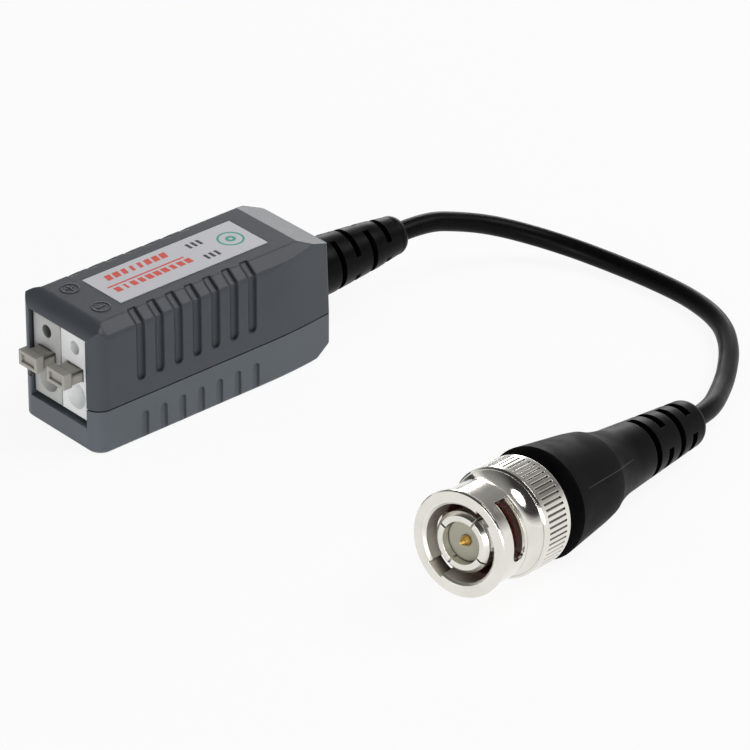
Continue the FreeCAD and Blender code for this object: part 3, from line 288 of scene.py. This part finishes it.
def moulded(
    name, colour, roughness, grain=0.16, depth=0.012, rub=0.35, grime=0.0, reach=0.4, **uniform,
):
    """Moulded plastic: spark-eroded grain, faint mottling, edges rubbed a little lighter, and
    painted shade that darkens hollows up to reach millimetres deep."""
    look = Finish(name, **uniform)
    colour = linear(*colour)
    broad = look.spread(look.noise(9, 3), 0, 1)
    fine = look.noise(grain, 3)
    base = look.tones(colour, look.math("MULTIPLY", broad, fine), 0.1)
    worn, soft = look.edges(0.25)
    patchy = look.spread(look.noise(1.4, 4), 0, rub, 0.42, 0.62)
    base = look.blend(look.math("MULTIPLY", worn, patchy), base, shade(colour, 1.55, 0.02))
    # Painted shade: grooves, recesses and inner corners darken towards a far darker copy of the colour
    if grime:
        base = look.blend(look.hollows(reach, grime), base, shade(colour, 0.12))
    rough = look.spread(fine, roughness - 0.05, roughness + 0.07)
    return look.use(Base_Color=base, Roughness=rough, Normal=look.bump(fine, depth, soft))


def smooth_moulded(name, colour, roughness, **values):
    """The terminal block's plastic, with a broader and shallower grain."""
    return moulded(name, colour, roughness, grain=0.25, depth=0.006, **values)


def jacket(name):
    """Extruded cable jacket: satin black, with faint changes of gloss and a little dust."""
    look = Finish(name, Specular_IOR_Level=0.07)
    dust = look.spread(look.noise(0.35, 4), 0, 1, 0.5, 0.8)
    base = look.blend(dust, linear(8, 8, 9), linear(17, 17, 19))
    rough = look.spread(look.noise(2.5, 3), 0.3, 0.42)
    return look.use(Base_Color=base, Roughness=rough, Normal=look.bump(look.noise(0.25, 2), 0.006))


# Along the plug, where the boot's body passes into its relief, in millimetres

RELIEF_START = (30, 33)


def rubber(name, dark=(10, 10, 11), light=(18, 18, 20)):
    """Soft moulded rubber: black, satin, with a fine sandy grain. The strain reliefs, which lie
    farther back than the boot's body, are deeper black and smoother."""
    look = Finish(name, Specular_IOR_Level=0.05)
    fine = look.noise(0.14, 3)
    smudge = look.spread(look.noise(4, 4), 0, 1)
    relief = look.spread(look.along_plug(), 0, 1, *RELIEF_START)
    base = look.blend(smudge, linear(*dark), linear(*light))
    worn, soft = look.edges(0.15)
    base = look.blend(look.math("MULTIPLY", worn, 0.3), base, linear(40, 40, 44))
    base = look.blend(look.math("MULTIPLY", relief, 0.6), base, linear(2, 2, 3))
    rough = look.math(
        "SUBTRACT", look.spread(smudge, 0.48, 0.58), look.math("MULTIPLY", relief, 0.15),
    )
    return look.use(Base_Color=base, Roughness=rough, Normal=look.bump(fine, 0.008, soft))


def turned_metal(name, colour, roughness, marks=0.002):
    """Plated metal turned about the plug's axis: fine tool rings under a bright plate."""
    look = Finish(name, Metallic=1)
    rings = look.line_noise(look.along_plug(), 0.06, 3)
    cloud = look.spread(look.noise(3, 3), 0, 1)
    base = look.tones(linear(*colour), cloud, 0.05)
    rough = look.math(
        "ADD", look.spread(cloud, roughness - 0.03, roughness + 0.03), look.spread(rings, 0, 0.05),
    )
    soft = look.edges(0.12)[1]
    return look.use(Base_Color=base, Roughness=rough, Normal=look.bump(rings, marks, soft))


# Nut, in millimetres: where its painted red shade starts and ends, and how far out that shade, bore and
# skin lie

RED_SHADE_START = (3.4, 4.4)
RED_SHADE_END = (10, 11)
RED_SHADE_RIM = (6.1, 6.2)
BORE_RIM = (5.5, 5.9)
OUTER_SKIN = (5.9, 6.0)


def nut_metal(name):
    """The coupling nut's plate: bright outside, with painted shade in its knurl's grooves, satin in the
    bore, and deep inside a dull red-brown painted shade and reflection, not metallic."""
    look = Finish(name)
    along = look.along_plug()
    out = look.off_plug()
    rings = look.line_noise(along, 0.06, 3)
    cloud = look.spread(look.noise(3, 3), 0, 1)
    # Painted shade and reflection: deep inside the nut the plate turns a dull red-brown, not metallic
    lengthwise = look.math(
        "MULTIPLY", look.spread(along, 0, 1, *RED_SHADE_START), look.spread(along, 1, 0, *RED_SHADE_END),
    )
    red_shade = look.math("MULTIPLY", lengthwise, look.spread(out, 1, 0, *RED_SHADE_RIM))
    # Painted shade: on the outer skin the knurl's grooves darken
    knurl_shade = look.math("MULTIPLY", look.hollows(0.35), look.spread(out, 0, 1, *OUTER_SKIN))
    base = look.blend(knurl_shade, look.tones(linear(*NICKEL), cloud, 0.05), linear(58, 52, 44))
    base = look.blend(red_shade, base, linear(58, 18, 12))
    satin = look.spread(out, 0.3, 0, *BORE_RIM)
    rough = look.math("ADD", look.spread(cloud, 0.08, 0.14), satin)
    soft = look.edges(0.12)[1]
    return look.use(
        Base_Color=base, Metallic=look.math("SUBTRACT", 1, red_shade), Roughness=rough,
        Normal=look.bump(rings, 0.002, soft),
    )


def sheet_metal(name, colour, roughness):
    """Rolled and stamped strip: fine rolling lines, slightly dulled."""
    look = Finish(name, Metallic=1)
    stretched = look.node("ShaderNodeMapping", Vector=look.place, Scale=(0.04, 1, 1))
    lines = look.noise(0.08, 2, stretched.outputs["Vector"])
    base = look.tones(linear(*colour), look.noise(1.5, 3), 0.08)
    rough = look.spread(lines, roughness - 0.05, roughness + 0.08)
    return look.use(Base_Color=base, Roughness=rough, Normal=look.bump(lines, 0.002))


def speckled(name, colour, other, roughness, grain=0.3, depth=0.02):
    """A body with grains of a second colour, such as ferrite, lacquer or rubber."""
    look = Finish(name)
    grains = look.noise(grain, 5)
    base = look.blend(look.spread(grains, 0, 1, 0.4, 0.65), linear(*colour), linear(*other))
    rough = look.spread(grains, roughness - 0.06, roughness + 0.08)
    return look.use(Base_Color=base, Roughness=rough, Normal=look.bump(grains, depth))


def wound_wire(name):
    """Enamelled copper wire, with painted light and shade for its many turns."""
    look = Finish(name, Metallic=0.7, Coat_Weight=0.5)
    grain = look.noise(0.2, 2)
    # Painted light and shade: noise mixes a dark and a light copper to stand for the turns
    base = look.blend(look.spread(grain, 0, 1), linear(122, 48, 18), linear(196, 96, 44))
    rough = look.spread(grain, 0.2, 0.35)
    return look.use(Base_Color=base, Roughness=rough, Normal=look.bump(grain, 0.02))


def laminate(name):
    """Circuit board: green mask over a glass weave."""
    look = Finish(name, Coat_Weight=0.3)
    weave = look.node("ShaderNodeTexChecker", Vector=look.place, Scale=2200).outputs["Fac"]
    soft = look.noise(0.6, 2)
    base = look.blend(look.math("MULTIPLY", weave, soft), linear(22, 92, 58), linear(38, 120, 76))
    rough = look.spread(soft, 0.28, 0.4)
    return look.use(Base_Color=base, Roughness=rough, Normal=look.bump(weave, 0.006))


def film(name):
    """Label film: pale, slightly silvery, with a faint orange-peel gloss."""
    look = Finish(name)
    peel = look.noise(0.5, 2)
    base = look.tones(linear(212, 212, 218), look.noise(5, 3), 0.03)
    rough = look.spread(peel, 0.3, 0.42)
    return look.use(Base_Color=base, Roughness=rough, Normal=look.bump(peel, 0.006))


def ink(name, colour):
    """Screen-printed ink, a little uneven."""
    look = Finish(name, Specular_IOR_Level=0.4)
    speck = look.noise(0.12, 3)
    colour = linear(*colour)
    worn = shade(colour, 0.8, 0.12)
    base = look.blend(look.spread(speck, 0, 0.5, 0.45, 0.75), colour, worn)
    return look.use(Base_Color=base, Roughness=look.spread(speck, 0.4, 0.55))


NICKEL = (228, 225, 217)

# For the moulded plastics, a keyword sets how strong the painted shade in their hollows is
FINISHES = {
    "cover_plastic": lambda name: moulded(name, (64, 69, 75), 0.44, grime=1.0, Specular_IOR_Level=0.4),
    "tray_plastic": lambda name: moulded(name, (84, 91, 98), 0.42, grime=0.8),
    "label_film": film,
    "pole_grey": lambda name: smooth_moulded(
        name, (188, 189, 187), 0.45, rub=0.1, grime=0.95, reach=1.9,
    ),
    "pole_white": lambda name: smooth_moulded(name, (238, 239, 239), 0.42, rub=0.1, grime=0.25),
    "tab_plastic": lambda name: smooth_moulded(name, (171, 168, 160), 0.45, rub=0.15, grime=0.8),
    "spring_steel": lambda name: sheet_metal(name, (180, 178, 172), 0.3),
    "tinned_copper": lambda name: sheet_metal(name, (200, 200, 198), 0.35),
    "board_laminate": laminate,
    "ferrite": lambda name: speckled(name, (46, 46, 48), (74, 74, 76), 0.7),
    "magnet_wire": wound_wire,
    "capacitor_coating": lambda name: speckled(name, (42, 84, 150), (58, 104, 172), 0.3, 0.8, 0.03),
    "component_black": lambda name: speckled(name, (24, 24, 25), (44, 44, 46), 0.5),
    "resistor_coating": lambda name: speckled(name, (196, 172, 132), (212, 190, 150), 0.35, 0.6),
    "jacket_black": jacket,
    "core_dielectric": lambda name: moulded(name, (226, 226, 222), 0.4, rub=0.0),
    "boot_rubber": rubber,
    "nickel_plate": nut_metal,
    "contact_nickel": lambda name: turned_metal(name, NICKEL, 0.18),
    "insulator_white": lambda name: moulded(
        name, (172, 166, 148), 0.35, grain=0.3, depth=0.004, rub=0.0, grime=0.5, Subsurface_Weight=0.15,
    ),
    "gold_plate": lambda name: turned_metal(name, (238, 200, 118), 0.22, marks=0.001),
    "gasket_rubber": lambda name: speckled(name, (104, 34, 26), (126, 44, 34), 0.5, 0.25),
}


def dress_frame():
    """Gives every node of the frame the finish of its material slot."""
    made = {}
    for piece in nodes.values():
        for place in piece.material_slots:
            slot = place.material.name.split(".")[0]
            if slot not in made:
                made[slot] = FINISHES[slot](slot + "_finish")
            place.material = made[slot]


# Springs: copies that stand for their solids


def press_spring(name, body):
    """A piece that stands for a spring's solid: a copy of its mesh, which rides on the body while
    the solid itself is hidden."""
    piece = bpy.data.objects.new("pressed_" + name, nodes[name].data.copy())
    bpy.context.scene.collection.objects.link(piece)
    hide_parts(name)
    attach(piece, body)
    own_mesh(piece)
    return piece


def press_springs():
    """The leaf springs behind the tabs, and the plug's spring washer, which is given back."""
    for side in ("left", "right"):
        press_spring(
            "clamp_spring_" + side, "root",
        )
    return press_spring(
        "spring_washer", "washer_stack",
    )


# Print and moulded marks, in millimetres: rings by outer and inner radius, strokes by length and width

RING_SIDES = 40
LABEL_TOP = 18.85
PRINT_LOW = LABEL_TOP - 0.01
PRINT_HIGH = LABEL_TOP + 0.012
RULE_PLACE = (-5.37, 0.16)
RULE_SIZE = (12.9, 0.3)
BAR_PITCH = 1.32
UPPER_START = (-9.9, 2.25)
UPPER_LENGTHS = (0.95, 1.0, 0.75, 0.5, 0.6, 0.95, 0.95, 1.0)
UPPER_WIDTH = 1.35
UPPER_LEAN = 0.2
LOWER_START = (-10.9, -1.0)
LOWER_LENGTHS = (0.95, 0.4, 0.9, 0.8, 1.0, 0.95, 1.0, 0.75, 0.95, 0.95)
LOWER_WIDTH = 1.2
DASH_STARTS = ((3.5, 2.0), (3.5, -1.8))
DASH_PITCH = 0.9
DASH_LENGTHS = (0.45, 0.45, 0.45)
DASH_WIDTH = 1.3
EMBLEM_PLACE = (9.08, 0)
EMBLEM_RING = (1.9, 1.6)
EMBLEM_DOT = (0.75, 0.3)

COVER_TOP = 18.8
MARK_LOW = COVER_TOP - 0.1
MARK_HIGH = COVER_TOP + 0.05
MARK_PLACES = {"minus_mark": (-15.52, -3.1), "plus_mark": (-15.52, 3.4)}
MARK_RING = (1.35, 1.08)
MARK_STROKE = (1.3, 0.28)

SEAM_ANGLES = (math.radians(150), math.radians(330))
SEAM_START = 18.5
SEAM_STEP = 0.5
SEAM_COUNT = 28
SEAM_HALF_WIDTH = 0.09
SEAM_RISE = 0.06
SEAM_SINK = 0.03
CLEAR_OF_BOOT = 12


def new_piece(name, mesh, finish):
    """An object made from the mesh, which rides on the root body."""
    data = bpy.data.meshes.new(name)
    mesh.to_mesh(data)
    mesh.free()
    piece = bpy.data.objects.new(name, data)
    bpy.context.scene.collection.objects.link(piece)
    data.materials.append(finish)
    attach(piece, "root")


def slab(mesh, corners, low, high):
    """A flat plate from low to high over corners in the plane, all in millimetres."""
    floor = [mesh.verts.new((x * MM, y * MM, low * MM)) for x, y in corners]
    roof = [mesh.verts.new((x * MM, y * MM, high * MM)) for x, y in corners]
    mesh.faces.new(roof)
    mesh.faces.new(floor[::-1])
    for i in range(len(corners)):
        j = (i + 1) % len(corners)
        mesh.faces.new((floor[i], floor[j], roof[j], roof[i]))


def bar(mesh, centre, length, width, low, high, lean=0.0):
    """A bar with its length along X. Its far side is shifted along X by lean times its width."""
    x, y = centre
    corners = []
    for side, end in ((-1, -1), (1, -1), (1, 1), (-1, 1)):
        across = end * width / 2
        corners.append((x + side * length / 2 + lean * across, y + across))
    slab(mesh, corners, low, high)


def ring(mesh, centre, outer, inner, low, high):
    """A flat ring, with its four faces."""
    rows = []
    for radius, height in ((inner, low), (outer, low), (outer, high), (inner, high)):
        row = []
        for i in range(RING_SIDES):
            angle = TURN * i / RING_SIDES
            x = centre[0] + radius * math.cos(angle)
            y = centre[1] + radius * math.sin(angle)
            row.append(mesh.verts.new((x * MM, y * MM, height * MM)))
        rows.append(row)
    for first, second in zip(rows, rows[1:] + rows[:1]):
        for i in range(RING_SIDES):
            j = (i + 1) % RING_SIDES
            mesh.faces.new((first[i], first[j], second[j], second[i]))


def bar_row(mesh, start, lengths, pitch, width, lean=0.0):
    """Bars of print along X, from the centre of the first."""
    for i, length in enumerate(lengths):
        bar(mesh, (start[0] + i * pitch, start[1]), length, width, PRINT_LOW, PRINT_HIGH, lean)


def print_label():
    """Generic shapes where the real label has its print: two rows of bars with a rule between
    them, two groups of dark dashes and a ring about a dot."""
    red = ink("red_ink", (225, 78, 58))

    mesh = bmesh.new()
    bar(mesh, RULE_PLACE, *RULE_SIZE, PRINT_LOW, PRINT_HIGH)
    new_piece("print_rule", mesh, red)

    mesh = bmesh.new()
    bar_row(mesh, UPPER_START, UPPER_LENGTHS, BAR_PITCH, UPPER_WIDTH, UPPER_LEAN)
    new_piece("print_upper_bars", mesh, red)

    mesh = bmesh.new()
    bar_row(mesh, LOWER_START, LOWER_LENGTHS, BAR_PITCH, LOWER_WIDTH)
    new_piece("print_lower_bars", mesh, red)

    mesh = bmesh.new()
    for start in DASH_STARTS:
        bar_row(mesh, start, DASH_LENGTHS, DASH_PITCH, DASH_WIDTH)
    new_piece("print_dashes", mesh, ink("black_ink", (34, 34, 38)))

    mesh = bmesh.new()
    ring(mesh, EMBLEM_PLACE, *EMBLEM_RING, PRINT_LOW, PRINT_HIGH)
    ring(mesh, EMBLEM_PLACE, *EMBLEM_DOT, PRINT_LOW, PRINT_HIGH)
    new_piece("print_ring", mesh, ink("green_ink", (60, 170, 140)))


def mould_poles():
    """A ringed minus and a ringed plus on the cover, beside the wire poles."""
    # The marks' finish has painted shade in its hollows
    finish = moulded("pole_mark_finish", (57, 61, 66), 0.5, rub=0.0, grime=0.5)
    length, width = MARK_STROKE
    for name, centre in MARK_PLACES.items():
        mesh = bmesh.new()
        ring(mesh, centre, *MARK_RING, MARK_LOW, MARK_HIGH)
        bar(mesh, centre, length, width, MARK_LOW, MARK_HIGH)
        if name == "plus_mark":
            bar(mesh, centre, width, length, MARK_LOW, MARK_HIGH)
        new_piece(name, mesh, finish)


def seam_section(skin, along, angle):
    """Three points across the mould line where it lies on the boot's skin: the outer two are sunk
    into it and the middle one stands above it."""
    outside = on_plug(along, angle, CLEAR_OF_BOOT) * MM
    inward = (on_plug(along, angle, 0) * MM - outside).normalized()
    hit = skin.ray_cast(outside, inward)[0]
    if hit is None:
        return None
    across = inward.cross(PLUG_AXIS).normalized() * SEAM_HALF_WIDTH * MM
    sunk = hit + inward * SEAM_SINK * MM
    return sunk - across, hit - inward * SEAM_RISE * MM, sunk + across


def mould_boot_line():
    """The fine line that the two halves of the mould leave along the boot, as a low ridge with a
    painted highlight.
    """
    # Painted highlight: the ridge's rubber is far lighter than the boot's
    finish = rubber("mould_line_finish", (58, 58, 60), (84, 84, 86))
    skin = BVHTree.FromObject(nodes["plug_boot"], bpy.context.evaluated_depsgraph_get())
    mesh = bmesh.new()
    for angle in SEAM_ANGLES:
        last = None
        for i in range(SEAM_COUNT):
            section = seam_section(skin, SEAM_START + i * SEAM_STEP, angle)
            if section is None:
                continue
            row = [mesh.verts.new(point) for point in section]
            if last:
                for k in range(2):
                    mesh.faces.new((last[k], last[k + 1], row[k + 1], row[k]))
            last = row
    new_piece("boot_mould_line", mesh, finish)


# Stage

FLOOR_SIZE = 3.0
PAPER = 0.9
PAPER_GLOW = 0.91
AMBIENT = 0.28

# Reflected surroundings: each fade lies between two cosines, to straight up or to the backdrop

HORIZON_FADE = (0.08, 0.42)
CEILING = 0.04
BACKDROP = Vector((0.667, 0.745, 0))
BACKDROP_FADE = (0.1, 0.8)
BACKDROP_SHARE = 0.28

# Lamps: place in metres, power in watts, and width and height in metres

LAMP_AIM = Vector((0.01, -0.03, 0.01))
LAMPS = {
    "key": ((0.34, -0.22, 0.5), 1.7, (0.4, 0.4)),
    "front": ((-0.3, -0.58, 0.18), 0.9, (0.4, 0.24)),
    "left": ((-0.56, -0.2, 0.08), 1.25, (0.4, 0.14)),
    "back": ((0.45, 0.38, 0.1), 0.8, (0.5, 0.16)),
}


def arithmetic(tree, operation, first, second):
    """A Math node of two sockets, or of a socket and a number, clamped to 0 and 1."""
    made = tree.nodes.new("ShaderNodeMath")
    made.operation = operation
    made.use_clamp = True
    tree.links.new(first, made.inputs[0])
    if isinstance(second, bpy.types.NodeSocket):
        tree.links.new(second, made.inputs[1])
    else:
        made.inputs[1].default_value = second
    return made.outputs[0]


def background_rays(tree, *names):
    """1 for the named kinds of ray, which show the background, and 0 for the rest."""
    path = tree.nodes.new("ShaderNodeLightPath")
    share = path.outputs[names[0]]
    for name in names[1:]:
        share = arithmetic(tree, "MAXIMUM", share, path.outputs[name])
    return share


def mixed(tree, share, first, second):
    """One shader or another, as share goes from 0 to 1."""
    mix = tree.nodes.new("ShaderNodeMixShader")
    tree.links.new(share, mix.inputs["Fac"])
    tree.links.new(first.outputs[0], mix.inputs[1])
    tree.links.new(second.outputs[0], mix.inputs[2])
    return mix


def lay_floor():
    """White paper. What sees it directly sees it glow, so it is white but for a faint shadow."""
    mesh = bmesh.new()
    half = FLOOR_SIZE / 2
    corners = [(-half, -half, 0), (half, -half, 0), (half, half, 0), (-half, half, 0)]
    mesh.faces.new([mesh.verts.new(corner) for corner in corners])
    data = bpy.data.meshes.new("floor")
    mesh.to_mesh(data)
    mesh.free()
    floor = bpy.data.objects.new("floor", data)
    bpy.context.scene.collection.objects.link(floor)
    material = bpy.data.materials.new("paper")
    material.use_nodes = True
    tree = material.node_tree
    tree.nodes.clear()
    matt = tree.nodes.new("ShaderNodeBsdfDiffuse")
    matt.inputs["Color"].default_value = (PAPER, PAPER, PAPER, 1)
    white = tree.nodes.new("ShaderNodeEmission")
    seen = background_rays(tree, "Is Camera Ray", "Is Glossy Ray", "Is Transmission Ray")
    mix = mixed(tree, arithmetic(tree, "MULTIPLY", seen, PAPER_GLOW), matt, white)
    end = tree.nodes.new("ShaderNodeOutputMaterial")
    tree.links.new(mix.outputs[0], end.inputs["Surface"])
    data.materials.append(material)


def slope(tree, towards, cosines, values):
    """Goes from one value to another as the world's direction turns towards a given one."""
    match = tree.nodes.new("ShaderNodeVectorMath")
    match.operation = "DOT_PRODUCT"
    tree.links.new(tree.nodes.new("ShaderNodeTexCoord").outputs["Generated"], match.inputs[0])
    match.inputs[1].default_value = towards
    fade = tree.nodes.new("ShaderNodeMapRange")
    tree.links.new(match.outputs["Value"], fade.inputs["Value"])
    fade.inputs["From Min"].default_value, fade.inputs["From Max"].default_value = cosines
    fade.inputs["To Min"].default_value, fade.inputs["To Max"].default_value = values
    return fade.outputs["Result"]


def background(tree, strength):
    """A white background of some strength, which is a number or a socket."""
    made = tree.nodes.new("ShaderNodeBackground")
    made.inputs["Color"].default_value = (1, 1, 1, 1)
    if isinstance(strength, bpy.types.NodeSocket):
        tree.links.new(strength, made.inputs["Strength"])
    else:
        made.inputs["Strength"].default_value = strength
    return made


def light_world():
    """A faint even light. The camera sees it white, and gloss sees a white horizon, a pale
    backdrop behind the object and a dim room elsewhere."""
    world = bpy.data.worlds.new("studio")
    bpy.context.scene.world = world
    world.use_nodes = True
    tree = world.node_tree
    tree.nodes.clear()
    horizon = slope(tree, Vector((0, 0, 1)), HORIZON_FADE, (1, CEILING))
    backdrop = slope(tree, BACKDROP, BACKDROP_FADE, (0, BACKDROP_SHARE))
    room = background(tree, arithmetic(tree, "ADD", horizon, backdrop))
    glossy = background_rays(tree, "Is Glossy Ray")
    clear = background_rays(tree, "Is Camera Ray", "Is Transmission Ray")
    mirrored = mixed(tree, glossy, background(tree, AMBIENT), room)
    seen = mixed(tree, clear, mirrored, background(tree, 1))
    end = tree.nodes.new("ShaderNodeOutputWorld")
    tree.links.new(seen.outputs[0], end.inputs["Surface"])


def hang_lamps():
    """Soft elliptical lamps about the object, which all face it."""
    for name, (place, power, size) in LAMPS.items():
        lamp = bpy.data.lights.new(name, "AREA")
        lamp.shape = "ELLIPSE"
        lamp.size, lamp.size_y = size
        lamp.energy = power
        light = bpy.data.objects.new(name, lamp)
        light.location = place
        light.rotation_euler = (Vector(place) - LAMP_AIM).to_track_quat("Z", "Y").to_euler()
        bpy.context.scene.collection.objects.link(light)


place_camera()
cable = lay_cable()
dress_frame()
washer = press_springs()
print_label()
mould_poles()
mould_boot_line()
lay_floor()
light_world()
hang_lamps()
